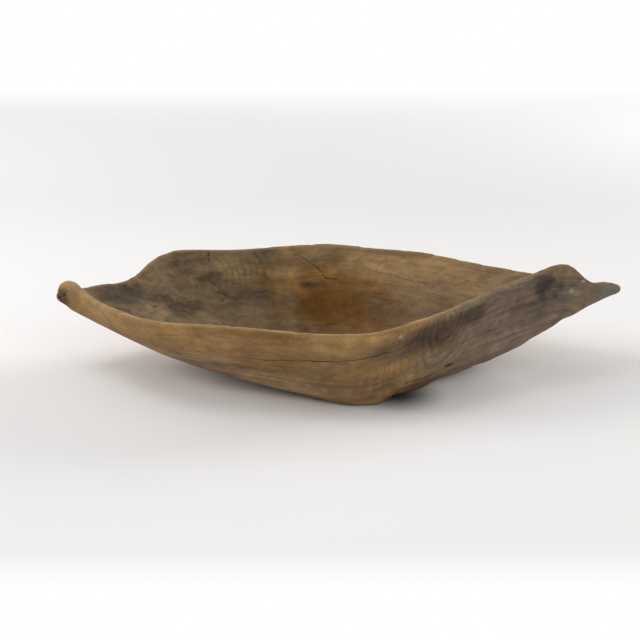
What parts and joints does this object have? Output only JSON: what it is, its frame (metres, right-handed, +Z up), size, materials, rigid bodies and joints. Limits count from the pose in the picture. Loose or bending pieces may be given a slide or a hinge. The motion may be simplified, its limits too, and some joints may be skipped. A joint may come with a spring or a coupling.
{
  "type": "dough bowl",
  "caption": "Long hand-hewn wooden dough bowl with a wavy lip, steep carved walls, a pointed horn at each end and a flat foot.",
  "frame": {"origin": "on the table, under the middle of the bowl's overall box", "axes": "+X runs from the blunt left horn to the thin right horn, +Y to the far side of the pictured view, +Z up"},
  "size_m": [0.6162, 0.2977, 0.1185],
  "materials": {
    "wood": "worn and dry, with a dull waxed sheen in the hollow"
  },
  "bodies": {
    "root": {"bowl": "wood"}
  },
  "joints": []
}
